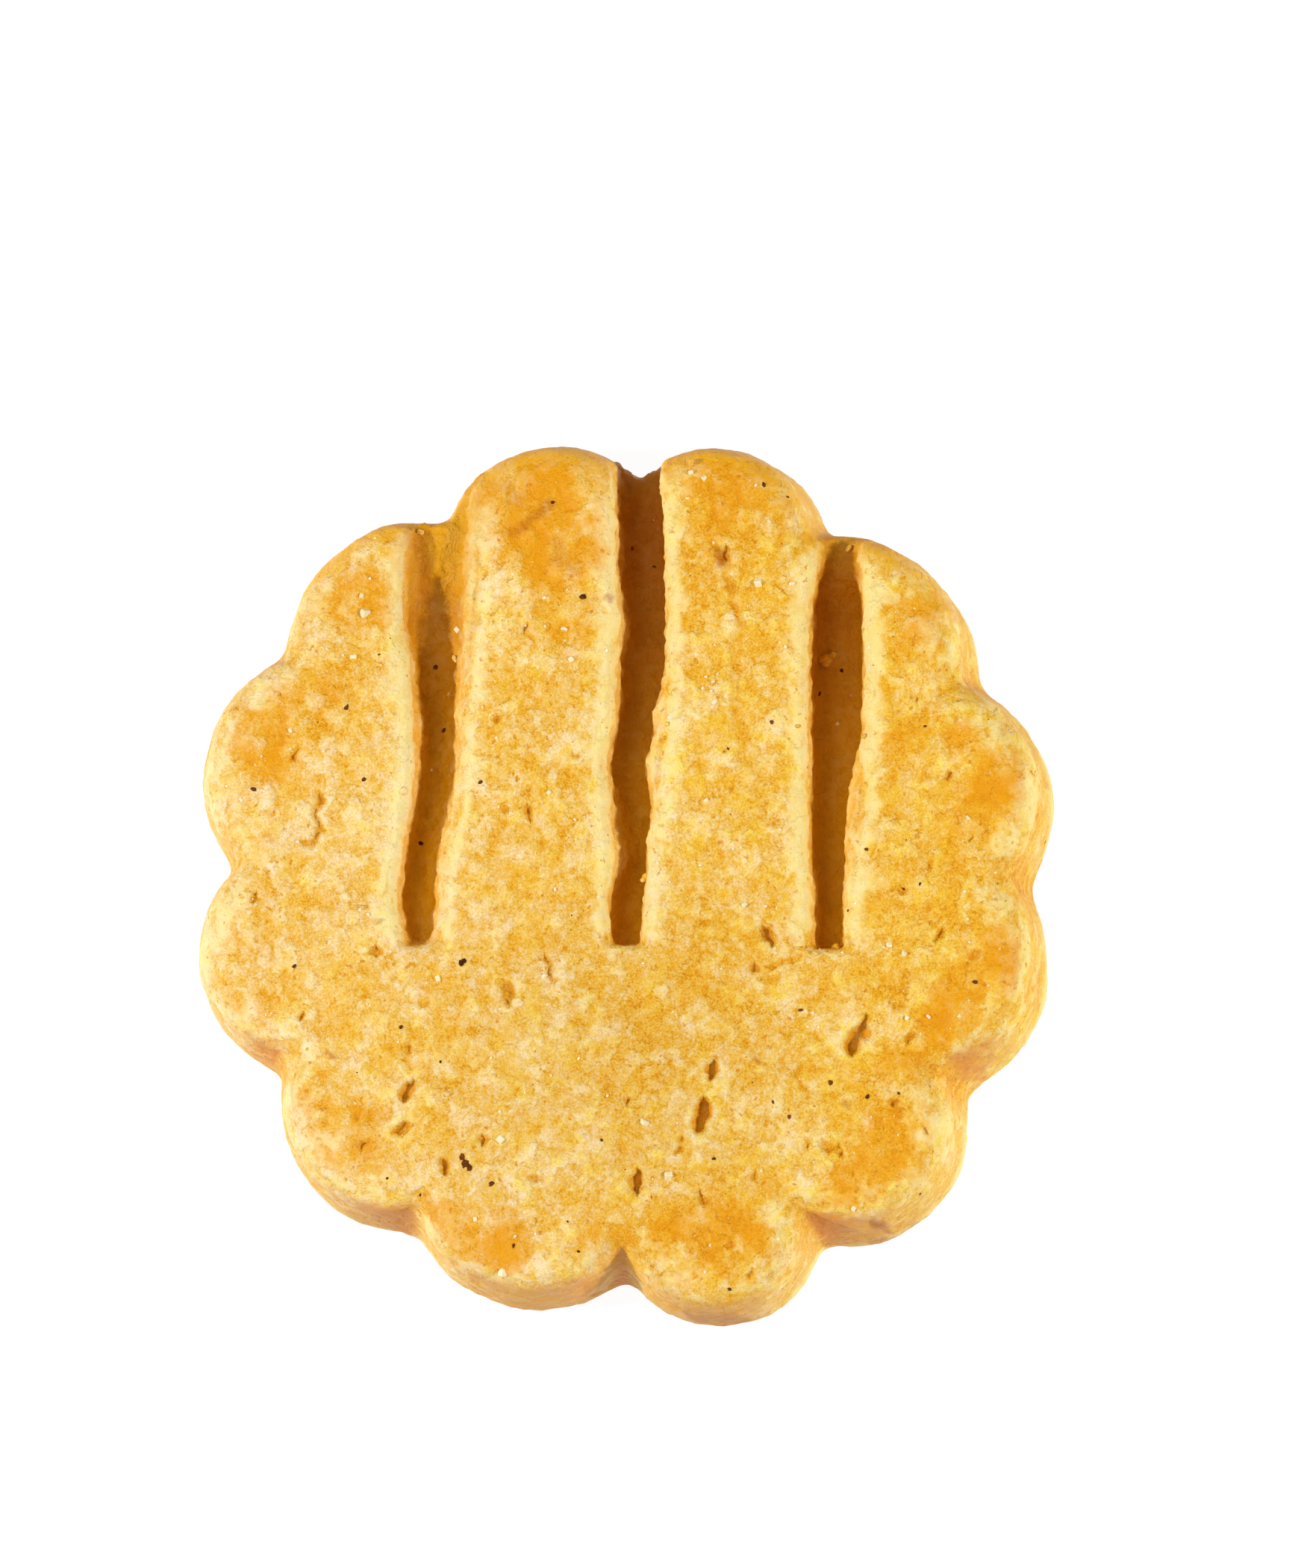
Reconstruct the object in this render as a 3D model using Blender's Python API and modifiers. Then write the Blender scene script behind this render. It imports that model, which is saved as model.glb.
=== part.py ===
"""A round shortbread biscuit with a fluted rim and three pressed grooves, lying flat on its base.

Metres, +Z up, with the origin under the middle of the biscuit, on the surface it lies on. The grooves run along Y
and open at the +Y rim. A scalloped blank is raised ring by ring, the grooves are cut from it, and the surface is
then remeshed, softened as baked dough is, and given its lumps, pits and cracks.
"""

import math

import bmesh
import bpy
from mathutils import Vector, noise

MM = 0.001

THICKNESS = 10.0 * MM
SHOULDER = 2.2 * MM  # rounding of the upper rim
FOOT = 0.6 * MM  # rounding of the lower rim
SPREAD = 0.45 * MM  # how far the foot of the wall stands out past the middle height
NOTCH_SOFTNESS_TOP = 0.22 * MM
NOTCH_SOFTNESS_FOOT = 0.55 * MM
CORE = 26.3 * MM  # the round middle that the scallops stand out from, so that an inset notch never opens
RING_POINTS = 288
SHOULDER_STEPS = 6

# Each scallop of the rim: its place round the rim in degrees from +X, its reach from the middle and the radius of
# its arc, both in millimetres. They differ a little, as dough does once it is cut and baked.
SCALLOPS = (
    (14.0, 29.7, 8.9),
    (44.5, 29.8, 9.3),
    (73.8, 30.8, 7.3),
    (101.6, 30.7, 7.7),
    (131.5, 30.3, 9.4),
    (160.0, 30.3, 9.0),
    (192.9, 29.8, 7.9),
    (224.9, 29.7, 8.3),
    (253.5, 29.7, 9.0),
    (285.5, 30.9, 7.0),
    (312.3, 30.4, 8.1),
    (343.7, 29.5, 9.5),
)

# Notches whose wall leans in towards the top: place in degrees, lean in millimetres and half-width in degrees
LEANING_NOTCHES = ((239.0, 0.4, 4.0), (270.0, 0.6, 4.0), (299.0, 1.2, 4.5), (330.0, 1.2, 5.0))

# The grooves, at stations along Y from beyond the rim to their closed end, all in millimetres. The leans are how
# far each wall slopes in from its lip to the floor, and the end is where the floor stops.
STATIONS = (31.8, 25.9, 21.4, 17.4, 13.5, 10.5, 7.5, 4.5, 1.5, -1.4, -4.7)
GROOVES = (
    {
        "left": (-13.6, -13.6, -14.2, -14.6, -14.2, -13.8, -13.7, -13.9, -14.6, -14.9, -14.5),
        "right": (-10.0, -10.0, -10.0, -9.9, -10.3, -10.7, -10.6, -10.9, -11.1, -11.5, -12.1),
        "depth": (1.5, 1.6, 2.0, 2.8, 3.5, 3.8, 3.8, 3.7, 3.6, 3.4, 3.0),
        "left_lean": (0.5, 0.5, 0.5, 0.5, 0.6, 0.7, 0.7, 0.6, 0.5, 0.5, 0.4),
        "right_lean": (1.2, 1.2, 1.6, 1.9, 1.8, 1.7, 1.7, 1.8, 1.8, 1.6, 1.2),
        "end": -4.9,
    },
    {
        "left": (0.1, 0.0, 0.1, 0.4, 0.2, 0.0, -0.6, -0.5, -0.4, -0.6, -0.3),
        "right": (3.1, 3.3, 3.6, 3.7, 3.5, 3.3, 2.8, 2.7, 2.2, 2.0, 1.8),
        "depth": (4.6, 4.6, 4.8, 4.8, 4.7, 4.6, 4.4, 4.2, 4.0, 3.8, 3.4),
        "left_lean": (0.4, 0.4, 0.4, 0.5, 0.4, 0.4, 0.4, 0.9, 1.2, 0.5, 0.4),
        "right_lean": (0.2, 0.2, 0.2, 0.2, 0.3, 0.5, 1.1, 0.4, 0.3, 0.3, 0.3),
        "end": -5.0,
    },
    {
        "left": (13.7, 13.7, 13.5, 13.3, 13.1, 13.1, 13.2, 13.1, 13.0, 13.2, 13.3),
        "right": (16.9, 16.9, 16.8, 17.0, 17.1, 17.1, 16.7, 16.5, 16.2, 15.9, 15.6),
        "depth": (3.0, 3.4, 4.3, 4.8, 4.8, 4.7, 4.5, 4.3, 4.1, 3.8, 3.4),
        "left_lean": (0.4, 0.4, 0.4, 0.4, 0.4, 0.4, 0.4, 0.4, 0.4, 0.4, 0.4),
        "right_lean": (0.5, 0.5, 0.5, 0.5, 0.5, 0.5, 0.6, 1.2, 0.8, 0.5, 0.4),
        "end": -5.5,
    },
)
GROOVE_STEP = 0.6 * MM
LIP = 0.75 * MM  # rounding of the grooves' upper edges
LIP_STEPS = 5
GROOVE_WANDER = 0.13 * MM

# Open pits and short cracks in the top: middle in X and Y, length, width and depth in millimetres, and the turn
# of the long side from +X in degrees.
PITS = (
    (16.4, -11.6, 2.6, 0.8, 0.9, 66.0),
    (6.7, -13.6, 1.9, 0.9, 0.7, 74.0),
    (5.9, -16.7, 2.3, 1.1, 1, 78.0),
    (10.4, -4.4, 1.7, 0.9, 0.6, 110.0),
    (-14.1, -14.9, 1.6, 1.1, 0.6, 60.0),
    (-14.6, -17.5, 1.4, 1.2, 0.5, 20.0),
    (1.6, -21.2, 1.7, 0.8, 0.6, 95.0),
    (-20.5, 3.0, 2.4, 0.7, 0.5, 65.0),
    (7.5, 21.6, 1.2, 0.9, 0.5, 80.0),
    (8.3, 16.4, 5.0, 0.6, 0.35, 97.0),
    (8.7, 10.5, 2.6, 0.6, 0.3, 93.0),
    (-7.4, -8.3, 2.0, 0.8, 0.35, 100.0),
    (-11.5, -20.1, 1.5, 0.6, 0.5, 125.0),
    (-16.4, -5.4, 1.0, 0.8, 0.4, 0.0),
    (-17.1, -18.6, 1.2, 0.9, 0.4, 40.0),
    (9.5, -6.7, 1.0, 0.7, 0.4, 90.0),
)

SWELL = 0.20 * MM  # broad unevenness of the top
SWELL_ACROSS = 6.5 * MM
LUMPS = 0.13 * MM  # the smaller lumps on it
LUMPS_ACROSS = 2.3 * MM
WALL_LUMPS = 0.16 * MM
WALL_LUMPS_ACROSS = 4.0 * MM

VOXEL = 0.34 * MM
SOFTEN_TIMES = 3
TRIANGLES = 11000
FLAT_BASE = 0.06 * MM


def clear_scene():
    for obj in list(bpy.data.objects):
        bpy.data.objects.remove(obj)


def rim_radius(angle, inset, softness):
    """Distance from the middle to the scalloped outline, drawn in by inset, with its notches filled softly."""
    reaches = [CORE - inset]
    for place, reach, arc in SCALLOPS:
        turn = angle - math.radians(place)
        centre = (reach - arc) * MM
        radius = arc * MM - inset
        aside = centre * math.sin(turn)
        if math.cos(turn) > 0 and abs(aside) < radius:
            reaches.append(centre * math.cos(turn) + math.sqrt(radius**2 - aside**2))
    largest = max(reaches)
    return largest + softness * math.log(sum(math.exp((r - largest) / softness) for r in reaches))


def notch_lean(angle):
    """How far the top of the rim leans in at an angle, where a notch's wall slopes."""
    total = 0.0
    for place, lean, half_width in LEANING_NOTCHES:
        off = math.degrees(angle) % 360.0 - place
        total += lean * MM * math.exp(-((off / half_width) ** 2))
    return total


def wall_profile():
    """(height, inset) pairs up the wall: a rounded foot, a wall that leans in, and a rounded shoulder."""
    levels = [(0.0, FOOT - SPREAD), (FOOT * 0.3, FOOT * 0.3 - SPREAD), (FOOT, -SPREAD)]
    lean_top = THICKNESS - SHOULDER
    levels += [(THICKNESS * 0.35, -SPREAD * 0.45), (THICKNESS * 0.6, SPREAD * 0.25)]
    for step in range(SHOULDER_STEPS + 1):
        turn = math.pi / 2 * step / SHOULDER_STEPS
        inset = SPREAD + SHOULDER * (1 - math.cos(turn))
        levels.append((lean_top + SHOULDER * math.sin(turn), inset))
    return levels


def drawn_out(bm, faces):
    """Extrudes the faces in place, and returns the new faces and their points."""
    edges = {edge for face in faces for edge in face.edges}
    made = bmesh.ops.extrude_face_region(bm, geom=faces + list(edges))["geom"]
    new_faces = [item for item in made if isinstance(item, bmesh.types.BMFace)]
    new_verts = [item for item in made if isinstance(item, bmesh.types.BMVert)]
    return new_faces, new_verts


def make_blank(name):
    """The uncut biscuit: a disc face raised level by level, each ring of points set on the scalloped outline."""
    bm = bmesh.new()
    bmesh.ops.create_circle(bm, cap_ends=True, segments=RING_POINTS, radius=THICKNESS)
    ring = list(bm.verts)
    cap = list(bm.faces)
    for number, (height, inset) in enumerate(wall_profile()):
        if number:
            cap, ring = drawn_out(bm, cap)
        share = height / THICKNESS
        softness = NOTCH_SOFTNESS_FOOT * (1 - share) + NOTCH_SOFTNESS_TOP * share
        for vert in ring:
            angle = math.atan2(vert.co.y, vert.co.x)
            radius = rim_radius(angle, inset, softness) - notch_lean(angle) * share
            vert.co = Vector((radius * math.cos(angle), radius * math.sin(angle), height))
    bmesh.ops.recalc_face_normals(bm, faces=bm.faces)
    return object_from(bm, name)


def object_from(bm, name):
    mesh = bpy.data.meshes.new(name)
    bm.to_mesh(mesh)
    bm.free()
    obj = bpy.data.objects.new(name, mesh)
    bpy.context.scene.collection.objects.link(obj)
    return obj


def along(values, y):
    """A groove's value at y, in metres, eased between its stations."""
    for (y0, y1), (v0, v1) in zip(zip(STATIONS, STATIONS[1:]), zip(values, values[1:])):
        if y >= y1 * MM:
            share = min(1.0, max(0.0, (y0 * MM - y) / ((y0 - y1) * MM)))
            return (v0 + (v1 - v0) * share * share * (3 - 2 * share)) * MM
    return values[-1] * MM


def cutter_levels():
    """(depth below the top, share of the lip's width still open) pairs round a groove's rounded lip."""
    levels = []
    for step in range(LIP_STEPS + 1):
        turn = math.pi / 2 * step / LIP_STEPS
        levels.append((LIP * (1 - math.cos(turn)), 1 - math.sin(turn)))
    return levels


def make_cutter(name, groove, number):
    """The tool that presses one groove: a strip lowered level by level, wide at the lip and narrowing to its floor."""
    length = (STATIONS[0] - groove["end"]) * MM
    rows = round(length / GROOVE_STEP)
    bm = bmesh.new()
    bmesh.ops.create_grid(bm, x_segments=1, y_segments=rows, size=0.5)
    row_of = bm.verts.layers.float.new("row")
    side_of = bm.verts.layers.float.new("side")
    for vert in bm.verts:
        vert[row_of] = vert.co.y + 0.5
        vert[side_of] = 1.0 if vert.co.x > 0 else -1.0
    strip = list(bm.verts)
    faces = list(bm.faces)

    def place(verts, height, lip_share, lean_share):
        for vert in verts:
            side = vert[side_of]
            y = groove["end"] * MM + length * vert[row_of]
            edge = along(groove["right" if side > 0 else "left"], y)
            lean = along(groove["right_lean" if side > 0 else "left_lean"], y)
            wander = GROOVE_WANDER * noise.noise(Vector((side * 7.0 + number * 3.0, y / (2.4 * MM), 0.5)))
            vert.co.x = edge + wander + side * (LIP * lip_share - lean * lean_share)
            closed_end = vert[row_of] < 0.5 / rows
            vert.co.y = y - (LIP * lip_share - lean * lean_share * 0.8) * closed_end
            vert.co.z = THICKNESS - along(groove["depth"], y) * lean_share if height is None else height

    place(strip, THICKNESS + 1.5 * MM, 1.0, 0.0)
    for depth, lip_share in cutter_levels():
        faces, strip = drawn_out(bm, faces)
        place(strip, THICKNESS - depth, lip_share, 0.0)
    faces, strip = drawn_out(bm, faces)
    place(strip, None, 0.0, 1.0)
    bmesh.ops.recalc_face_normals(bm, faces=bm.faces)
    return object_from(bm, name)


def press_grooves(blank, cutters):
    for cutter in cutters:
        cutter.hide_render = True
        cutter.display_type = "WIRE"
        cut = blank.modifiers.new(cutter.name, "BOOLEAN")
        cut.operation = "DIFFERENCE"
        cut.solver = "EXACT"
        cut.object = cutter
    apply_modifiers(blank)
    for cutter in cutters:
        bpy.data.objects.remove(cutter)


def soften(biscuit):
    """An even skin of small faces over the whole biscuit, with its edges eased as baked dough has them."""
    remesh = biscuit.modifiers.new("skin", "REMESH")
    remesh.mode = "VOXEL"
    remesh.voxel_size = VOXEL
    ease = biscuit.modifiers.new("ease", "SMOOTH")
    ease.factor = 0.5
    ease.iterations = SOFTEN_TIMES
    apply_modifiers(biscuit)


def apply_modifiers(obj):
    graph = bpy.context.evaluated_depsgraph_get()
    made = bpy.data.meshes.new_from_object(obj.evaluated_get(graph))
    obj.modifiers.clear()
    obj.data = made


def noise_at(point, across, offset):
    return noise.noise(Vector(point) / across + Vector((offset, offset * 2.0, offset * 3.0)))


def pit_depth(x, y):
    """How far the pits lower the top at a place: each is a long dent with a rounded floor."""
    deepest = 0.0
    for px, py, length, width, depth, turn in PITS:
        c, s = math.cos(math.radians(turn)), math.sin(math.radians(turn))
        dx, dy = x - px * MM, y - py * MM
        along_pit = (dx * c + dy * s) / (length * MM / 2)
        across_pit = (dy * c - dx * s) / (width * MM / 2)
        reach = along_pit**2 + across_pit**2
        if reach < 4.0:
            deepest = max(deepest, depth * MM * math.exp(-1.2 * reach))
    return deepest


def add_relief(biscuit):
    """Swells, lumps and pits on the top, and gentler lumps on the wall. The base is left flat."""
    mesh = biscuit.data
    moved = []
    for vert in mesh.vertices:
        x, y, z = vert.co
        up = max(0.0, vert.normal.z)
        level = max(0.0, min(1.0, (z - FOOT) / THICKNESS))
        out = Vector((vert.normal.x, vert.normal.y, 0.0))
        broad = SWELL * noise_at((x, y, 0.0), SWELL_ACROSS, 1.3)
        small = LUMPS * noise_at((x, y, z), LUMPS_ACROSS, 4.7)
        wall = WALL_LUMPS * noise_at((x, y, z), WALL_LUMPS_ACROSS, 8.1) + small * 0.5
        open_top = up if z > THICKNESS - 1.2 * MM else 0.0
        rise = broad * level + small * up * level - pit_depth(x, y) * open_top
        moved.append(vert.co + Vector((0.0, 0.0, rise)) + out * wall * min(1.0, z / FOOT))
    for vert, place in zip(mesh.vertices, moved):
        vert.co = place


def thin_out(biscuit):
    """Fewer faces where the surface is even, and a truly flat base to rest on."""
    thin = biscuit.modifiers.new("thin", "DECIMATE")
    thin.ratio = TRIANGLES / sum(len(face.vertices) - 2 for face in biscuit.data.polygons)
    thin.use_collapse_triangulate = True
    flatten_base(biscuit)
    apply_modifiers(biscuit)
    flatten_base(biscuit)


def flatten_base(biscuit):
    for vert in biscuit.data.vertices:
        if vert.co.z < FLAT_BASE:
            vert.co.z = 0.0


def centre(biscuit):
    """Puts the middle of the biscuit's bounding box over the origin."""
    places = [vert.co.xy for vert in biscuit.data.vertices]
    middle_x = (min(p.x for p in places) + max(p.x for p in places)) / 2
    middle_y = (min(p.y for p in places) + max(p.y for p in places)) / 2
    for vert in biscuit.data.vertices:
        vert.co -= Vector((middle_x, middle_y, 0.0))


def shortbread():
    """A Principled material in the biscuit's middle colour."""
    material = bpy.data.materials.new("shortbread")
    material.use_nodes = True
    shader = material.node_tree.nodes["Principled BSDF"]
    shader.inputs["Base Color"].default_value = (0.76, 0.47, 0.13, 1.0)
    shader.inputs["Roughness"].default_value = 0.7
    shader.inputs["Metallic"].default_value = 0.0
    return material


def main():
    clear_scene()
    biscuit = make_blank("biscuit")
    centre(biscuit)
    cutters = [make_cutter(f"groove_{i}", groove, i) for i, groove in enumerate(GROOVES)]
    press_grooves(biscuit, cutters)
    soften(biscuit)
    add_relief(biscuit)
    thin_out(biscuit)
    centre(biscuit)
    biscuit.data.materials.clear()
    biscuit.data.materials.append(shortbread())
    biscuit.data.shade_smooth()
    home = bpy.data.collections.new("shortbread_biscuit")
    bpy.context.scene.collection.children.link(home)
    home.objects.link(biscuit)
    bpy.context.scene.collection.objects.unlink(biscuit)


main()
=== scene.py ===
"""The looks of a round shortbread biscuit with a fluted rim and three pressed grooves.

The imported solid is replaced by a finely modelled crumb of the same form, coloured by how far each place is
baked. Sugar grains, flecks of spice and a few loose crumbs lie on it. Lengths are in metres, in the solid's
frame, except where a table says millimetres.
"""

import math
import random

import bmesh
import bpy
import numpy as np
from mathutils import Euler, Matrix, Vector, noise
from mathutils.bvhtree import BVHTree


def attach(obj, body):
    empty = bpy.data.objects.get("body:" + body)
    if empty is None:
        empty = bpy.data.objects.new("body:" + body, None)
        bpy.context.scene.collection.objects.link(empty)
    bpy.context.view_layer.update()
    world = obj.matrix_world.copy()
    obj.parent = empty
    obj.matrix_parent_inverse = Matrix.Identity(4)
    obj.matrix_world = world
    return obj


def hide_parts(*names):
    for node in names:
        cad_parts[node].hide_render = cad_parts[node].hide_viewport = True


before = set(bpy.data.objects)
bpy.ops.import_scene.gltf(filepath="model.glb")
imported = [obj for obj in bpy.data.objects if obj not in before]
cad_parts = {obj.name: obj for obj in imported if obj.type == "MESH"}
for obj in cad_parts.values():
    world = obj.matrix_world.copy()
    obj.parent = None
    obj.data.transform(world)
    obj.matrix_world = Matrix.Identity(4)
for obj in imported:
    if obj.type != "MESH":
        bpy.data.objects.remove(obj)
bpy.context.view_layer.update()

MM = 0.001

# The biscuit's form, as the solid has it

THICKNESS = 10.0 * MM
SHOULDER = 2.2 * MM  # rounding of the upper rim
FOOT = 0.6 * MM  # rounding of the lower rim
SPREAD = 0.45 * MM  # how far the foot of the wall stands out past the middle height
WALL_WAY = ((0.35, -0.45), (0.6, 0.25))  # up the wall: shares of the height, and of the spread inwards
NOTCH_SOFTNESS_TOP = 0.22 * MM
NOTCH_SOFTNESS_FOOT = 0.55 * MM
CORE = 26.3 * MM  # the round middle that the scallops stand out from
RING_POINTS = 480
SHOULDER_STEPS = 8

# Each scallop of the rim: its place in degrees from +X, its reach and the radius of its arc in millimetres
SCALLOPS = (
    (14.0, 29.7, 8.9),
    (44.5, 29.8, 9.3),
    (73.8, 30.8, 7.3),
    (101.6, 30.7, 7.7),
    (131.5, 30.3, 9.4),
    (160.0, 30.3, 9.0),
    (192.9, 29.8, 7.9),
    (224.9, 29.7, 8.3),
    (253.5, 29.7, 9.0),
    (285.5, 30.9, 7.0),
    (312.3, 30.4, 8.1),
    (343.7, 29.5, 9.5),
)

# Notches whose wall leans in towards the top: place in degrees, lean in millimetres, half-width in degrees
LEANING_NOTCHES = ((239.0, 0.4, 4.0), (270.0, 0.6, 4.0), (299.0, 1.2, 4.5), (330.0, 1.2, 5.0))

# The grooves, at stations along Y from beyond the rim to their closed end, all in millimetres. The leans
# are how far each wall slopes in from its lip to the floor, the ledge is how far the right wall bulges in
# below its lip, and the end is where the groove stops.
STATIONS = (31.8, 25.9, 21.4, 17.4, 13.5, 10.5, 7.5, 4.5, 1.5, -1.4, -4.7)
GROOVES = (
    {
        "left": (-13.8, -14.0, -14.4, -14.7, -14.2, -13.9, -13.9, -14.2, -14.8, -14.9, -14.5),
        "right": (-9.5, -9.5, -9.5, -9.6, -10.2, -10.5, -10.5, -10.9, -11.5, -11.7, -12.1),
        "depth": (1.5, 1.6, 2.0, 2.8, 3.5, 3.8, 3.8, 3.7, 3.6, 3.4, 3.0),
        "left_lean": (0.5, 0.5, 0.5, 0.5, 0.6, 0.7, 0.7, 0.6, 0.5, 0.5, 0.4),
        "right_lean": (1.2, 1.2, 1.6, 1.9, 1.8, 1.7, 1.7, 1.8, 1.8, 1.6, 1.2),
        "ledge": (0.3, 0.4, 0.8, 0.9, 0.8, 0.7, 0.6, 0.8, 0.7, 0.6, 0.5),
        "end": -4.9,
    },
    {
        "left": (0.0, -0.1, -0.1, 0.3, 0.0, -0.2, -0.7, -0.5, -0.1, -0.5, -0.3),
        "right": (3.1, 3.2, 3.4, 3.6, 3.7, 3.5, 3.1, 2.7, 2.2, 2.0, 1.8),
        "depth": (4.6, 4.6, 4.8, 4.8, 4.7, 4.6, 4.4, 4.2, 4.0, 3.8, 3.4),
        "left_lean": (0.4, 0.4, 0.4, 0.5, 0.4, 0.4, 0.4, 0.9, 1.2, 0.5, 0.4),
        "right_lean": (0.2, 0.2, 0.2, 0.2, 0.3, 0.5, 1.1, 0.4, 0.3, 0.3, 0.3),
        "ledge": (0.0, 0.0, 0.1, 0.2, 0.5, 1.1, 1.2, 0.4, 0.1, 0.1, 0.0),
        "end": -5.0,
    },
    {
        "left": (14.4, 14.4, 13.9, 13.3, 13.1, 13.1, 13.2, 13.1, 13.0, 13.2, 13.3),
        "right": (16.9, 16.9, 16.8, 17.0, 17.1, 17.0, 16.8, 16.8, 16.3, 15.9, 15.6),
        "depth": (1.2, 1.4, 2.6, 4.5, 4.8, 4.7, 4.5, 4.3, 4.1, 3.8, 3.4),
        "left_lean": (0.4, 0.4, 0.4, 0.4, 0.4, 0.4, 0.4, 0.4, 0.4, 0.4, 0.4),
        "right_lean": (0.5, 0.5, 0.5, 0.5, 0.5, 0.5, 0.6, 1.2, 0.8, 0.5, 0.4),
        "ledge": (0.0, 0.0, 0.0, 0.0, 0.0, 0.2, 0.5, 1.2, 0.7, 0.3, 0.1),
        "end": -5.5,
    },
)
# Down the wall: shares of the depth, of the lean and of the ledge
FLOOR_CURVE = (
    (0.18, 0.05, 0.4),
    (0.38, 0.12, 0.85),
    (0.6, 0.35, 1.0),
    (0.88, 0.8, 1.0),
    (1.0, 1.25, 1.0),
)
GROOVE_STEP = 0.3 * MM
LIP = 0.85 * MM  # rounding of the grooves' upper edges
LIP_STEPS = 6
GROOVE_WANDER = 0.13 * MM  # how far the edges stray to either side
GROOVE_WANDER_ACROSS = 2.4 * MM
LIP_TEAR = 0.035 * MM  # the finer raggedness of the torn edges
LIP_TEAR_ACROSS = 0.7 * MM
END_LEAN = 0.8  # how much of the walls' lean the closed end has
CUT_ABOVE = 1.5 * MM

# Open pits in the top: middle in X and Y, length, width and depth in millimetres, and the turn of the long
# side from +X in degrees
PITS = (
    (16.5, -11.4, 2.9, 1.3, 0.8, 62.0),
    (6.6, -13.6, 1.8, 0.9, 0.6, 72.0),
    (5.9, -16.7, 2.5, 1.2, 0.8, 76.0),
    (10.4, -4.4, 1.7, 0.9, 0.6, 110.0),
    (-14.1, -14.9, 1.6, 1.1, 0.6, 60.0),
    (-14.6, -17.5, 1.2, 0.8, 0.5, 20.0),
    (1.6, -21.2, 1.7, 0.8, 0.6, 95.0),
    (7.5, 21.6, 1.2, 0.9, 0.5, 80.0),
    (-7.4, -8.3, 2.0, 0.8, 0.35, 100.0),
    (-11.5, -20.1, 1.5, 0.6, 0.5, 125.0),
    (-16.4, -5.4, 1.0, 0.8, 0.4, 0.0),
    (-17.1, -18.6, 1.0, 0.6, 0.4, 40.0),
    (9.5, -6.7, 1.0, 0.7, 0.4, 90.0),
    (9.5, -20.8, 0.7, 0.4, 0.3, 100.0),
    (16.0, -20.6, 0.5, 0.4, 0.3, 20.0),
    (22.0, -4.7, 1.2, 0.6, 0.35, 60.0),
    (24.5, -5.9, 0.8, 0.6, 0.3, 30.0),
    (21.3, 0.2, 0.9, 0.6, 0.3, 80.0),
    (19.5, -1.5, 0.8, 0.6, 0.3, 100.0),
    (20.0, -11.5, 0.9, 0.6, 0.3, 20.0),
    (18.9, -16.0, 0.7, 0.4, 0.3, 40.0),
    (-9.1, -18.2, 0.8, 0.6, 0.4, 0.0),
    (-14.0, -12.0, 0.8, 0.5, 0.3, 120.0),
    (4.4, -19.0, 0.8, 0.4, 0.3, 60.0),
    (-5.5, -20.9, 1.2, 0.5, 0.35, 150.0),
    (-5.9, 4.0, 1.3, 0.5, 0.3, 95.0),
    (0.8, -15.6, 0.6, 0.4, 0.3, 30.0),
    (4.6, -18.4, 0.7, 0.4, 0.3, 60.0),
    (2.5, -22.2, 0.5, 0.3, 0.3, 90.0),
    (6.0, -22.4, 1.4, 0.4, 0.3, 95.0),
    (13.1, -18.7, 0.9, 0.5, 0.3, 70.0),
    (7.8, -25.4, 0.9, 0.4, 0.3, 50.0),
    (9.1, -27.6, 0.8, 0.4, 0.3, 60.0),
    (20.9, -17.8, 0.8, 0.5, 0.3, 120.0),
    (13.3, 17.1, 0.5, 0.4, 0.3, 90.0),
    (7.6, 8.1, 0.5, 0.4, 0.3, 80.0),
    (8.9, 9.9, 0.9, 0.4, 0.3, 110.0),
    (-8.3, 17.1, 0.4, 0.3, 0.3, 0.0),
    (-6.1, 16.7, 0.6, 0.4, 0.3, 40.0),
    (-8.0, 10.6, 0.7, 0.5, 0.3, 20.0),
    (-6.8, 6.5, 1.0, 0.4, 0.3, 100.0),
    (-2.6, 7.9, 1.2, 0.3, 0.3, 150.0),
    (-22.0, 8.2, 0.9, 0.4, 0.3, 70.0),
    (-23.4, 4.4, 0.8, 0.4, 0.3, 20.0),
    (-24.6, -1.6, 0.9, 0.4, 0.3, 100.0),
    (-21.4, -9.8, 0.9, 0.5, 0.3, 60.0),
    (-23.0, -14.2, 0.8, 0.4, 0.3, 130.0),
    (22.6, 6.4, 0.7, 0.4, 0.3, 50.0),
    (20.6, 11.6, 0.9, 0.4, 0.3, 100.0),
    (24.4, 2.0, 0.6, 0.4, 0.3, 40.0),
)

POINTED = 1.4  # 2 would make the pits oval, and less gives them sharper ends
PIT_WALL = (1.25, 0.65)  # a pit's wall from its upper edge to its floor, in shares of its reach

# Narrow cracks and furrows: points on the way in millimetres, then width and depth
CRACKS = (
    (((6.8, 22.5), (7.4, 21.1), (7.9, 19.2), (8.6, 16.7)), 0.5, 0.2),
    (((8.4, 16.2), (8.2, 14.9), (8.2, 12.2), (8.6, 9.5), (8.9, 7.3)), 0.6, 0.13),
    (((-20.3, 5.6), (-20.2, 4.6), (-20.5, 4.0), (-20.2, 2.8), (-20.7, 2.2), (-21.3, 2.1)), 0.4, 0.35),
    (((14.1, -18.7), (14.6, -19.1), (15.1, -18.9), (15.3, -19.4)), 0.3, 0.35),
    (((-4.7, -5.6), (-4.5, -6.9), (-4.0, -7.4)), 0.35, 0.3),
    (((10.4, -6.8), (11.4, -6.3), (12.5, -6.0)), 0.3, 0.25),
    (((-13.7, -10.0), (-14.2, -12.3), (-13.9, -14.0)), 0.45, 0.12),
    (((12.7, -13.4), (12.4, -14.5), (12.9, -15.3)), 0.3, 0.15),
)

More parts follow.
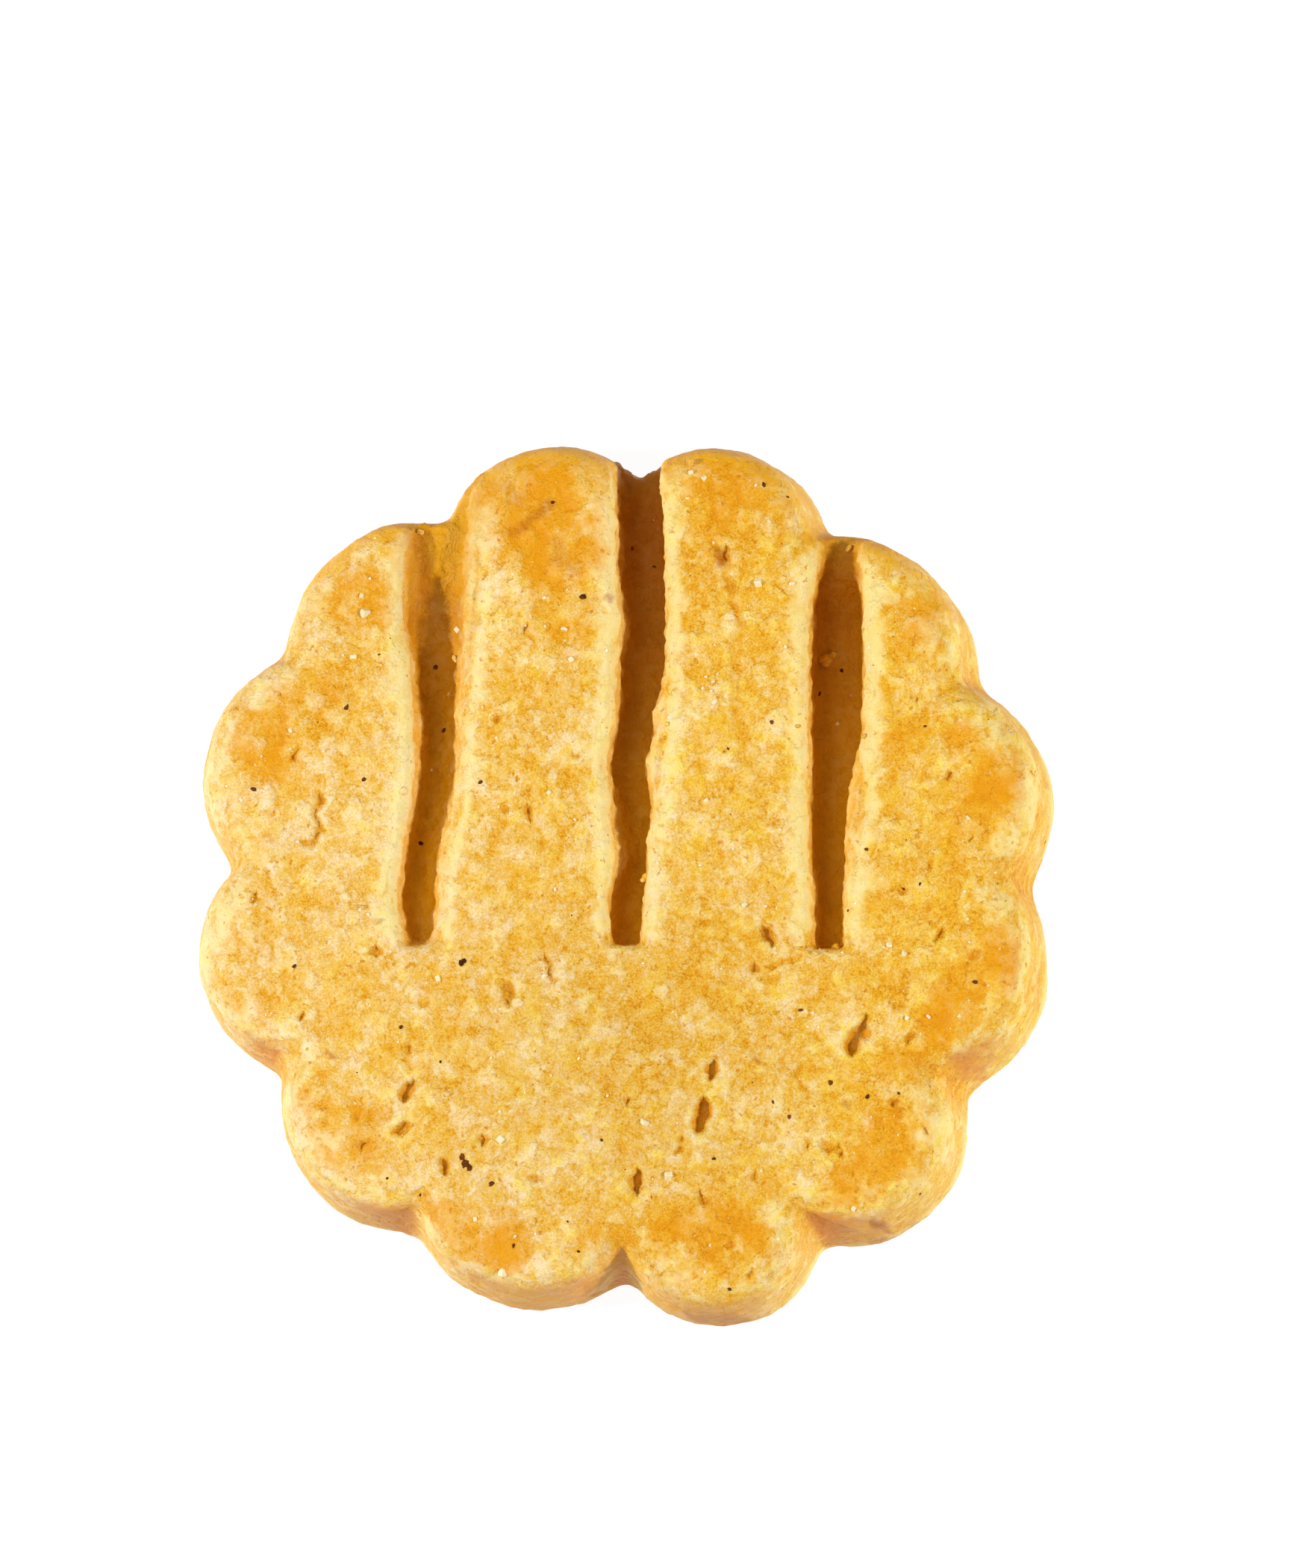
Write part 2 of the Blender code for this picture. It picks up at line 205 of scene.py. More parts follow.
SWELL = 0.20 * MM  # broad unevenness of the top
SWELL_ACROSS = 6.5 * MM
LUMPS = 0.13 * MM  # the smaller lumps on it
LUMPS_ACROSS = 2.3 * MM
WALL_LUMPS = 0.2 * MM
WALL_LUMPS_ACROSS = 4.0 * MM
CRUMBS = 0.07 * MM  # the crumb that only shows close up
CRUMBS_ACROSS = 0.9 * MM
CLODS = 0.07 * MM  # flat-topped clods with hollows between them, drawn out along the grooves
CLODS_ACROSS = 1.5 * MM
CLODS_DRAWN_OUT = 0.7
CLODS_SWAY = 0.5
TEARS = 0.16 * MM  # rough, torn crumb on the groove walls
TEARS_ACROSS = 0.9 * MM
TEARS_REACH = 0.8 * MM  # how far past a groove's edge they fade out
TEARS_START = (0.3 * MM, 1.2 * MM)  # depths between which they come in
BELOW_FLOOR = (1.4, 1.15)  # shares of its depth between which a groove's crumb and colour fade out
OPEN_TOP = 1.2 * MM  # pits and cracks open down to this depth

VOXEL = 0.235 * MM  # the cells of the skin
SOFTEN_TIMES = 5
WALL_SOFTEN_TIMES = 16
WALL_BAND = 1.5 * MM  # the outer wall is taken to start this far inside the round middle
TRIANGLES = 194000
FLAT_BASE = 0.06 * MM  # points lower than this are laid on the base

# What the finish reads: forms are told from the surface evened so many times, each on top of the last
NEAR_TIMES = 6
MIDDLING_TIMES = 24
WIDE_TIMES = 90
FULL_HOLLOW = 0.05 * MM  # the sizes that count as 1
FULL_BULGE = 0.06 * MM
FULL_EDGE = 0.32 * MM
FULL_PIT = 0.5 * MM
MOST_COUNTED = 1.5  # and the most that is counted of a hollow or a bulge
LEVEL_ENOUGH = 0.05 * MM  # a smaller offset sideways has no direction
PITS_COLOURED = 2.0 * MM  # pits are coloured down to this depth
GROOVE_LIP_REACH = 0.5 * MM
BACK_FROM = 15.0 * MM  # the shoulder towards the open ends is browned and painted with shade from here on, fully from the next
BACK_FULL = 22.0 * MM
INWARD_NONE = 27.0 * MM  # the grooves' floors get the darkest painted shade here and lighter painted shade towards the closed ends
INWARD_FULL = 0.0 * MM
SHALLOW_NONE = 3.2 * MM  # and shallow floors get lighter painted shade too
SHALLOW_FULL = 1.8 * MM
SHALLOW_MOST = 0.8
NOTCH_NONE = 3.4 * MM  # a wall this far past the round middle is a scallop's, and at the next a notch's
NOTCH_FULL = 1.6 * MM
DARKER_MIDDLE = (1.0, -14.0)  # the darker field below the grooves, in millimetres
DARKER_MIDDLE_REACH = 13.0 * MM

# Where the top is browned most: X, Y and radius in millimetres, and how strongly
BROWNED = (
    (-3.5, 25.0, 3.6, 1.0),
    (-4.0, 28.6, 3.0, 0.8),
    (-9.8, 26.6, 3.0, 0.8),
    (-13.4, 23.6, 2.4, 0.8),
    (3.6, 28.4, 2.4, 0.6),
    (9.0, 27.8, 3.2, 0.7),
    (13.4, 24.6, 2.6, 0.6),
    (-7.0, 24.4, 2.6, 0.9),
    (-4.0, 20.5, 4.2, 0.7),
    (-4.2, 15.5, 3.5, 0.4),
    (-12.6, 20.8, 1.6, 1.0),
    (8.0, 25.0, 3.8, 0.6),
    (6.3, 22.0, 1.8, 0.6),
    (21.6, 16.7, 3.6, 0.8),
    (19.3, 8.2, 2.4, 0.7),
    (26.1, 5.6, 3.2, 1.0),
    (23.8, 9.5, 3.0, 0.6),
    (23.6, 1.5, 2.4, 0.5),
    (26.2, -6.3, 3.2, 1.1),
    (22.4, -10.2, 3.0, 1.0),
    (19.2, -14.0, 2.2, 0.7),
    (19.5, -18.6, 3.4, 0.7),
    (16.2, -19.8, 2.0, 0.6),
    (15.7, -22.6, 2.0, 0.8),
    (8.0, -24.8, 3.6, 0.9),
    (3.4, -25.4, 2.6, 0.8),
    (-1.3, -24.7, 2.0, 0.5),
    (-8.0, -26.2, 3.0, 1.1),
    (-12.2, -24.2, 2.2, 0.9),
    (-17.4, -18.2, 3.4, 0.7),
    (-21.5, -15.0, 2.6, 0.5),
    (-24.6, -9.0, 2.4, 0.6),
    (-25.2, -4.7, 2.4, 0.5),
    (-24.2, 2.0, 2.2, 0.5),
    (-24.0, 9.0, 3.2, 0.9),
    (-20.0, 12.6, 2.0, 0.6),
    (-17.4, 19.2, 3.4, 0.8),
)

# Where sugar has burnt: points on the way in millimetres, then width and strength
STAINS = (
    (((-6.9, 23.3), (-5.6, 24.4), (-4.3, 25.4)), 0.6, 0.5),
    (((-4.0, 22.4), (-4.1, 21.6), (-2.9, 20.8)), 0.9, 0.25),
    (((-7.4, 26.5), (-6.8, 25.4)), 0.8, 0.25),
    (((6.9, 21.9), (7.2, 21.3), (7.2, 20.9)), 0.5, 0.8),
    (((-0.6, 18.9), (-0.3, 18.6)), 0.4, 0.6),
    (((17.4, -23.9), (17.9, -24.0)), 0.4, 0.8),
    (((-13.6, 23.4), (-13.4, 21.6), (-13.2, 19.6)), 1.3, 0.5),
    (((9.4, -12.9), (9.9, -13.3)), 0.3, 0.6),
    (((15.4, -15.9), (15.8, -16.3)), 0.4, 0.6),
    (((-19.6, -12.2), (-19.2, -12.6)), 0.4, 0.6),
    (((4.6, -29.9), (6.4, -30.4), (8.6, -30.3)), 0.5, 0.5),
    (((16.8, -24.9), (19.0, -24.6), (21.0, -23.4)), 0.5, 0.5),
)

# Sugar grains that stand out, flecks of spice and loose crumbs: X, Y and size in millimetres
SUGAR = (
    (-7.7, -27.3, 0.8), (2.0, -17.2, 0.55), (3.6, -20.9, 0.8), (-4.5, 5.4, 0.5), (6.2, 4.7, 0.45),
    (-7.8, -18.3, 0.6), (9.8, 19.6, 0.55), (12.1, 19.5, 0.45), (6.8, 11.4, 0.6), (6.2, 13.2, 0.35),
    (6.7, 12.8, 0.35), (6.0, 12.4, 0.3), (7.0, 13.4, 0.3), (6.6, 12.2, 0.35), (3.8, 10.5, 0.5),
    (5.2, 27.3, 0.5), (6.1, 26.9, 0.4), (-3.0, 14.5, 0.55), (-3.5, 16.6, 0.5), (-4.9, 18.8, 0.35),
    (-11.1, 17.0, 0.5), (-17.4, 19.1, 0.45), (-17.2, 17.9, 0.8), (-18.0, 14.9, 0.6), (-12.1, -7.3, 0.5),
    (-4.8, -7.2, 0.4), (-17.4, -2.5, 0.4), (-16.9, -2.9, 0.35), (-9.5, -23.7, 0.4), (-6.8, -24.9, 0.35),
    (16.9, -1.2, 0.35), (8.8, -2.5, 0.4), (19.6, -5.9, 0.4), (18.6, -5.3, 0.4), (19.8, -10.3, 0.4),
    (21.2, -10.2, 0.4), (23.3, -10.2, 0.35), (16.1, -23.1, 0.4), (-20.0, 8.4, 0.35), (-25.7, 5.1, 0.4),
    (-22.3, 9.8, 0.35), (-13.0, 7.5, 0.3), (14.9, 10.5, 0.3), (24.0, 3.3, 0.35), (17.3, 15.1, 0.4),
)
SPECKS = (
    (-10.2, -19.9, 0.75), (-10.4, -19.5, 0.45), (-9.9, -20.2, 0.5), (24.4, -7.9, 0.5), (-18.4, 11.4, 0.5),
    (-24.8, 5.8, 0.45), (-14.6, -10.6, 0.4), (-10.5, -6.3, 0.5), (-10.3, -6.1, 0.35), (-21.9, -6.4, 0.4),
    (-17.2, 6.4, 0.35), (-12.7, 14.6, 0.45), (-12.1, 10.2, 0.4), (-13.7, 2.4, 0.4), (-4.3, 25.4, 0.45),
    (-16.2, 15.0, 0.25), (-0.9, -18.4, 0.3), (-11.9, -13.0, 0.25), (-8.4, -21.3, 0.45),
    (10.7, -15.9, 0.35), (11.8, -16.9, 0.35), (14.6, -14.6, 0.35), (17.1, -15.6, 0.4), (19.2, -15.4, 0.3),
    (12.6, -9.7, 0.3), (29.0, 2.5, 0.3), (17.1, 1.2, 0.3), (15.8, -2.9, 0.25), (20.7, -1.2, 0.3),
    (19.6, -1.5, 0.3), (6.7, -19.7, 0.3), (10.7, 10.0, 0.35), (7.7, 8.2, 0.25), (21.1, 9.6, 0.3),
    (15.2, 14.2, 0.35), (13.7, 12.6, 0.4), (2.3, 21.6, 0.3), (0.8, 22.9, 0.3), (10.2, 26.4, 0.35),
    (11.8, 25.6, 0.25), (7.7, -28.5, 0.3), (20.5, -22.0, 0.35), (-6.9, -25.5, 0.35), (-2.5, -25.9, 0.3),
    (-13.3, -22.0, 0.3), (-15.5, -20.9, 0.3), (-3.2, -23.9, 0.2), (-2.2, 18.8, 0.5), (-9.2, 6.1, 0.45),
)
LOOSE_CRUMBS = (
    (14.1, 14.9, 1.0), (14.6, 15.2, 0.6), (2.0, -0.4, 0.7), (12.6, -5.5, 0.6), (13.6, -5.9, 0.5),
    (14.9, -5.4, 0.6), (-13.6, 23.7, 0.5), (5.3, 27.9, 0.9), (15.9, 22.3, 0.6), (-14.5, 5.6, 0.6),
    (-17.3, -2.4, 0.5), (-16.3, -3.4, 0.5), (12.5, 9.7, 0.4), (17.0, 9.0, 0.5), (3.6, 10.0, 0.5),
    (3.4, 9.1, 0.4), (-11.6, 12.6, 0.5), (-11.2, 15.0, 0.5),
)

# More of them are strewn by chance: how many, smallest and largest in millimetres, and how far they are sunk
CHANCE_SUGAR = (380, 0.09, 0.26, 0.5, 0.85)
CHANCE_SPECKS = (36, 0.08, 0.16, 0.5, 0.7)
SUGAR_SUNK = 0.7
SPECKS_SUNK = 0.6
CRUMBS_SUNK = 0.3
CHANCE_SEED = 11
RIM_CLEAR = 1.2 * MM  # chance pieces stay this far inside the outline
STRETCH = (0.55, 1.15)  # shares of its size that a small piece has along each of its ways
CEILING = THICKNESS + 0.42 * MM  # no small piece stands out above this
HALF_REACH = 0.65  # how far a small piece may reach from its middle, as a share of its size
SMALL = 0.3 * MM  # pieces smaller than this are left out where they would fall deeper than the next
SMALL_DEEPEST = 1.0 * MM

# Colours as the screen shows them, 0 to 255. The crumb's run from its hollows, darker with painted shade, to
# what stands out, paler with painted light.
CRUMB_TONES = (
    (0.0, (208, 130, 0)),
    (0.18, (227, 155, 6)),
    (0.34, (235, 175, 46)),
    (0.5, (239, 190, 92)),
    (0.66, (243, 203, 126)),
    (0.82, (248, 215, 150)),
    (1.0, (252, 228, 172)),
)
CREAM_LIP_AND_HIGHLIGHT = (255, 236, 162)
BROWNED_TOP = (237, 158, 0)
BROWNED_AND_SHADED_BACK = (255, 184, 0)
OPEN_PORE = (212, 134, 2)
PIT_FLOOR = (214, 142, 6)
WALL_TAN_AND_SHADE = (228, 142, 50)
GROOVE_WALL_SHADE = (234, 182, 84)
GROOVE_FLOOR_DEEP_SHADE = (186, 108, 0)
GROOVE_FLOOR_LIGHT_SHADE = (232, 170, 4)
UNDERSIDE = (214, 148, 58)
BURNT_SUGAR = (186, 98, 0)
SUGAR_TONES = ((252, 230, 168), (255, 248, 214))
SPICE_TONES = ((70, 34, 12), (132, 72, 26))

# The crumb's colour is multiplied by these, in linear values: by the first two in turn, in small patches,
# and by the third in the field below the grooves
PALE_TINT = (1.0, 1.035, 1.26, 1.0)
GOLDEN_TINT = (1.01, 0.97, 0.28, 1.0)
DARKER_TINT = (0.92, 0.92, 1.0, 1.0)
DARKER_TO_RIGHT = 0.03  # over the round middle's radius
GOLDEN_TO_RIGHT = 0.22
BUMP_DEPTH = 0.13 * MM

# The camera: it looks down from a little right of the grooves' line and a little towards the closed ends

CAMERA_DISTANCE = 450.0 * MM
LEAN_RIGHT = 5.0  # degrees from straight above
LEAN_FRONT = 7.0
PICTURE_HIGH = 2100  # pixels of the photograph
PICTURE_WIDE = 1751
PIXELS_PER_MM = 19.72  # at the biscuit's top
TOP_MIDDLE_PIXEL = (824.0, 1164.8)  # where the middle of the top falls
SENSOR = 36.0
NEAREST_SEEN = 10.0 * MM

# The lamps: name, place round the biscuit and rise in degrees, distance and width in metres, and power in
# watts
LAMPS = (
    ("left_lamp", 184.0, 36.0, 0.7, 0.07, 3.1),
    ("right_lamp", 350.0, 33.0, 0.7, 0.09, 3.1),
    ("high_fill", 178.0, 62.0, 0.8, 0.45, 1.45),
)
LAMP_COLOUR = (1.0, 0.985, 0.96)
WHITE = (1.0, 1.0, 1.0, 1.0)
SKY_STRENGTH = 0.17
FLOOR_HALF_WIDTH = 1.5
FLOOR_COLOUR = (0.12, 0.12, 0.12, 1.0)
FLOOR_GLOW = 0.93


def rim_radius(angle, inset, softness):
    """Distance from the middle to the scalloped outline, drawn in by inset, its notches filled softly."""
    reaches = [CORE - inset]
    for place, reach, arc in SCALLOPS:
        turn = angle - math.radians(place)
        centre = (reach - arc) * MM
        radius = arc * MM - inset
        aside = centre * math.sin(turn)
        if math.cos(turn) > 0 and abs(aside) < radius:
            reaches.append(centre * math.cos(turn) + math.sqrt(radius**2 - aside**2))
    largest = max(reaches)
    return largest + softness * math.log(sum(math.exp((r - largest) / softness) for r in reaches))


def notch_lean(angle):
    """How far the top of the rim leans in at an angle, where a notch's wall slopes."""
    total = 0.0
    for place, lean, half_width in LEANING_NOTCHES:
        off = math.degrees(angle) % 360.0 - place
        total += lean * MM * math.exp(-((off / half_width) ** 2))
    return total


def wall_profile():
    """(height, inset) pairs up the wall: a rounded foot, a wall that leans in, and a rounded shoulder."""
    levels = [(0.0, FOOT - SPREAD), (FOOT * 0.3, FOOT * 0.3 - SPREAD), (FOOT, -SPREAD)]
    lean_top = THICKNESS - SHOULDER
    levels += [(THICKNESS * rise, SPREAD * inwards) for rise, inwards in WALL_WAY]
    for step in range(SHOULDER_STEPS + 1):
        turn = math.pi / 2 * step / SHOULDER_STEPS
        inset = SPREAD + SHOULDER * (1 - math.cos(turn))
        levels.append((lean_top + SHOULDER * math.sin(turn), inset))
    return levels


def drawn_out(bm, faces):
    """Extrudes the faces in place, and returns the new faces and their points."""
    edges = {edge for face in faces for edge in face.edges}
    made = bmesh.ops.extrude_face_region(bm, geom=faces + list(edges))["geom"]
    new_faces = [item for item in made if isinstance(item, bmesh.types.BMFace)]
    new_verts = [item for item in made if isinstance(item, bmesh.types.BMVert)]
    return new_faces, new_verts


def mesh_from(bm, name):
    mesh = bpy.data.meshes.new(name)
    bm.to_mesh(mesh)
    bm.free()
    return mesh


def object_from(bm, name):
    obj = bpy.data.objects.new(name, mesh_from(bm, name))
    bpy.context.scene.collection.objects.link(obj)
    return obj


def make_blank(name):
    """The uncut biscuit: a disc raised level by level, each ring of points set on the scalloped outline."""
    bm = bmesh.new()
    bmesh.ops.create_circle(bm, cap_ends=True, segments=RING_POINTS, radius=THICKNESS)
    ring = list(bm.verts)
    cap = list(bm.faces)
    for number, (height, inset) in enumerate(wall_profile()):
        if number:
            cap, ring = drawn_out(bm, cap)
        share = height / THICKNESS
        softness = NOTCH_SOFTNESS_FOOT * (1 - share) + NOTCH_SOFTNESS_TOP * share
        for vert in ring:
            angle = math.atan2(vert.co.y, vert.co.x)
            radius = rim_radius(angle, inset, softness) - notch_lean(angle) * share
            vert.co = Vector((radius * math.cos(angle), radius * math.sin(angle), height))
    bmesh.ops.recalc_face_normals(bm, faces=bm.faces)
    return object_from(bm, name)


def along(values, y):
    """A groove's value at y, in metres, eased between its stations."""
    for (y0, y1), (v0, v1) in zip(zip(STATIONS, STATIONS[1:]), zip(values, values[1:])):
        if y >= y1 * MM:
            share = min(1.0, max(0.0, (y0 * MM - y) / ((y0 - y1) * MM)))
            return (v0 + (v1 - v0) * share * share * (3 - 2 * share)) * MM
    return values[-1] * MM


def cutter_levels():
    """(depth below the top, share of the lip's width still open) pairs round a groove's rounded lip."""
    levels = []
    for step in range(LIP_STEPS + 1):
        turn = math.pi / 2 * step / LIP_STEPS
        levels.append((LIP * (1 - math.cos(turn)), 1 - math.sin(turn)))
    return levels


def make_cutter(name, groove, number):
    """The tool that presses one groove: a strip lowered level by level, narrowing from lip to floor."""
    length = (STATIONS[0] - groove["end"]) * MM
    rows = round(length / GROOVE_STEP)
    bm = bmesh.new()
    bmesh.ops.create_grid(bm, x_segments=1, y_segments=rows, size=0.5)
    row_of = bm.verts.layers.float.new("row")
    side_of = bm.verts.layers.float.new("side")
    for vert in bm.verts:
        vert[row_of] = vert.co.y + 0.5
        vert[side_of] = 1.0 if vert.co.x > 0 else -1.0
    strip = list(bm.verts)
    faces = list(bm.faces)

    def place(verts, height, lip_share, depth_share=0.0, lean_share=0.0, ledge_share=0.0):
        for vert in verts:
            side = vert[side_of]
            y = groove["end"] * MM + length * vert[row_of]
            edge = along(groove["right" if side > 0 else "left"], y)
            lean = along(groove["right_lean" if side > 0 else "left_lean"], y) * lean_share
            if side > 0:
                lean = max(lean, along(groove["ledge"], y) * ledge_share)
            wander_at = Vector((side * 7.0 + number * 3.0, y / GROOVE_WANDER_ACROSS, 0.5))
            tear_at = Vector((side * 5.0 + number * 4.0, y / LIP_TEAR_ACROSS, 2.5))
            wander = GROOVE_WANDER * noise.noise(wander_at)
            wander += LIP_TEAR * noise.noise(tear_at)
            vert.co.x = edge + wander + side * (LIP * lip_share - lean)
            closed_end = vert[row_of] < 0.5 / rows
            vert.co.y = y - (LIP * lip_share - lean * END_LEAN) * closed_end
            vert.co.z = THICKNESS - along(groove["depth"], y) * depth_share if height is None else height

    place(strip, THICKNESS + CUT_ABOVE, 1.0)
    for depth, lip_share in cutter_levels():
        faces, strip = drawn_out(bm, faces)
        place(strip, THICKNESS - depth, lip_share)
    for shares in FLOOR_CURVE:
        faces, strip = drawn_out(bm, faces)
        place(strip, None, 0.0, *shares)
    bmesh.ops.recalc_face_normals(bm, faces=bm.faces)
    return object_from(bm, name)


def apply_modifiers(obj):
    graph = bpy.context.evaluated_depsgraph_get()
    made = bpy.data.meshes.new_from_object(obj.evaluated_get(graph))
    obj.modifiers.clear()
    obj.data = made


def press_grooves(blank, cutters):
    for cutter in cutters:
        cut = blank.modifiers.new(cutter.name, "BOOLEAN")
        cut.operation = "DIFFERENCE"
        cut.solver = "EXACT"
        cut.object = cutter
    apply_modifiers(blank)
    for cutter in cutters:
        bpy.data.objects.remove(cutter)


def soften(biscuit):
    """An even skin of small faces over the whole biscuit, with its edges eased as baked dough has them."""
    remesh = biscuit.modifiers.new("skin", "REMESH")
    remesh.mode = "VOXEL"
    remesh.voxel_size = VOXEL
    easing = biscuit.modifiers.new("ease", "SMOOTH")
    easing.factor = 0.5
    easing.iterations = SOFTEN_TIMES
    apply_modifiers(biscuit)


def point_array(mesh, name="co"):
    values = np.empty(len(mesh.vertices) * 3)
    mesh.vertices.foreach_get(name, values)
    return values.reshape(-1, 3)


def set_points(mesh, points):
    mesh.vertices.foreach_set("co", points.ravel())
    mesh.update()


def ease(value, low, high):
    """0 up to low, 1 from high, and a smooth rise between them. With high below low it falls instead."""
    share = np.clip((value - low) / (high - low), 0.0, 1.0)
    return share * share * (3 - 2 * share)


def lumps(points, across, offset):
    """Smooth noise at each point, with lumps of the given width."""
    shift = Vector((offset, offset * 2.0, offset * 3.0))
    return np.array([noise.noise(Vector(point) / across + shift) for point in points])


def clod_field(x, y, z):
    """Wandering noise, drawn out along the grooves, that splits the top into clods."""
    drawn = np.stack([x, y * CLODS_DRAWN_OUT, z], axis=1)
    sway = lumps(drawn, CLODS_ACROSS * 1.3, 5.3)[:, None] * np.array((CLODS_SWAY, CLODS_SWAY, 0.0)) * MM
    return lumps(drawn + sway, CLODS_ACROSS, 12.6) + 0.45 * lumps(drawn + sway, CLODS_ACROSS * 0.45, 3.9)


def ragged(x, y):
    """The places moved about a little, so that outlines drawn through them come out ragged."""
    flat = np.stack([x, y, np.zeros_like(x)], axis=1)
    moved = []
    for seed in (3.1, 6.2):
        coarse = 0.3 * lumps(flat, 0.8 * MM, seed)
        fine = 0.16 * lumps(flat, 0.35 * MM, seed + 1)
        moved.append((coarse + fine) * MM)
    return x + moved[0], y + moved[1]


def way_distance(way, x, y):
    """How far each place is from a line of points given in millimetres."""
    nearest = np.full_like(x, 1.0)
    for (x0, y0), (x1, y1) in zip(way, way[1:]):
        step = np.array((x1 - x0, y1 - y0)) * MM
        dx, dy = x - x0 * MM, y - y0 * MM
        share = np.clip((dx * step[0] + dy * step[1]) / (step @ step), 0.0, 1.0)
        nearest = np.minimum(nearest, np.hypot(dx - share * step[0], dy - share * step[1]))
    return nearest


def pit_depths(x, y):
    """How far pits and cracks lower the top at each place, with ragged outlines."""
    ragged_x, ragged_y = ragged(x, y)
    deepest = np.zeros_like(x)
    for px, py, length, width, depth, turn in PITS:
        c, s = math.cos(math.radians(turn)), math.sin(math.radians(turn))
        dx, dy = ragged_x - px * MM, ragged_y - py * MM
        lengthwise = np.abs(dx * c + dy * s) / (length * MM / 2)
        crosswise = np.abs(dy * c - dx * s) / (width * MM / 2)
        reach = (lengthwise**POINTED + crosswise**POINTED) ** (1 / POINTED)
        deepest = np.maximum(deepest, depth * MM * ease(reach, *PIT_WALL))
    for way, width, depth in CRACKS:
        nearest = way_distance(way, ragged_x, ragged_y)
        deepest = np.maximum(deepest, depth * MM * ease(nearest, width * MM, width * MM * 0.2))
    return deepest


def groove_spans(y):
    """Each groove's left and right edge at each y."""
    return [
        (np.array([along(groove["left"], v) for v in y]), np.array([along(groove["right"], v) for v in y]))
        for groove in GROOVES
    ]


def groove_depth(x, y):
    """The depth of whichever groove is nearest to each place."""
    nearest = np.full_like(x, 1.0)
    depth = np.zeros_like(x)
    for groove, (left, right) in zip(GROOVES, groove_spans(y)):
        aside = np.abs(x - (left + right) / 2)
        here = np.array([along(groove["depth"], v) for v in y])
        depth = np.where(aside < nearest, here, depth)
        nearest = np.minimum(nearest, aside)
    return depth


def groove_nearness(x, y, reach):
    """1 in a groove and on its lips, falling to 0 at the given distance from it."""
    near = np.zeros_like(x)
    beyond_end = np.maximum(0.0, STATIONS[-1] * MM - y)
    for left, right in groove_spans(y):
        aside = np.maximum(0.0, np.maximum(left - x, x - right))
        near = np.maximum(near, ease(np.hypot(aside, beyond_end), reach, reach * 0.4))
    return near


def add_relief(biscuit):
    """Swells, lumps, pits and crumb on the top, and gentler lumps on the wall. The base is left flat."""
    mesh = biscuit.data
    points = point_array(mesh)
    normals = point_array(mesh, "normal")
    x, y, z = points.T
    up = np.maximum(0.0, normals[:, 2])
    level = np.clip((z - FOOT) / THICKNESS, 0.0, 1.0)
    above_base = np.minimum(1.0, z / FOOT)
    flat = np.stack([x, y, np.zeros_like(x)], axis=1)
    broad = SWELL * lumps(flat, SWELL_ACROSS, 1.3)
    small = LUMPS * lumps(points, LUMPS_ACROSS, 4.7)
    wall = WALL_LUMPS * lumps(points, WALL_LUMPS_ACROSS, 8.1) + small * 0.5
    crumb = CRUMBS * (lumps(points, CRUMBS_ACROSS, 11.9) + 0.6 * lumps(points, CRUMBS_ACROSS * 0.45, 2.2))
    clods = CLODS * (ease(clod_field(x, y, z), -0.12, 0.2) - 0.5)
    above_floor = ease((THICKNESS - z) / groove_depth(x, y), *BELOW_FLOOR)
    in_groove = groove_nearness(x, y, TEARS_REACH) * ease(THICKNESS - z, *TEARS_START) * above_floor
    rough = lumps(points, TEARS_ACROSS, 7.4) + 0.7 * lumps(points, TEARS_ACROSS * 0.4, 9.8)
    torn = TEARS * rough * in_groove
    open_top = up * (z > THICKNESS - OPEN_TOP)
    rise = broad * level + (small + clods) * up * level - pit_depths(x, y) * open_top
    points = points + normals * ((crumb + torn) * above_base)[:, None]
    points[:, 2] += rise
    points[:, :2] += normals[:, :2] * (wall * above_base)[:, None]
    set_points(mesh, points)


def flatten_base(biscuit):
    points = point_array(biscuit.data)
    points[points[:, 2] < FLAT_BASE, 2] = 0.0
    set_points(biscuit.data, points)


def mesh_edges(mesh):
    edges = np.empty(len(mesh.edges) * 2, dtype=np.int32)
    mesh.edges.foreach_get("vertices", edges)
    return edges.reshape(-1, 2)


def even_wall(biscuit):
    """Takes the last steps of the skin's cells out of the outer wall."""
    mesh = biscuit.data
    points = point_array(mesh)
    wall = ease(np.hypot(points[:, 0], points[:, 1]), CORE - WALL_BAND, CORE)[:, None]
    even = smoothed(points, mesh_edges(mesh), WALL_SOFTEN_TIMES)
    set_points(mesh, points + (even - points) * wall)


def thin_out(biscuit):
    """Fewer faces where the surface is even, and a truly flat base to rest on."""
    thin = biscuit.modifiers.new("thin", "DECIMATE")
    thin.ratio = min(1.0, TRIANGLES / sum(len(face.vertices) - 2 for face in biscuit.data.polygons))
    thin.use_collapse_triangulate = True
    flatten_base(biscuit)
    apply_modifiers(biscuit)
    flatten_base(biscuit)


def centre(biscuit):
    """Puts the middle of the biscuit's bounding box over the origin."""
    points = point_array(biscuit.data)
    middle = (points.min(axis=0) + points.max(axis=0)) / 2
    middle[2] = 0.0
    set_points(biscuit.data, points - middle)


def smoothed(points, edges, times):
    """The points drawn halfway to the middle of their neighbours, so many times."""
    start, end = edges.T
    count = np.bincount(start, minlength=len(points)) + np.bincount(end, minlength=len(points))
    for _ in range(times):
        total = np.zeros_like(points)
        for axis in range(3):
            total[:, axis] = np.bincount(start, points[end, axis], len(points))
            total[:, axis] += np.bincount(end, points[start, axis], len(points))
        points = points * 0.5 + total / count[:, None] * 0.5
    return points


def set_measure(mesh, name, values):
    mesh.attributes.new(name, "FLOAT", "POINT").data.foreach_set("value", values.astype(np.float32))


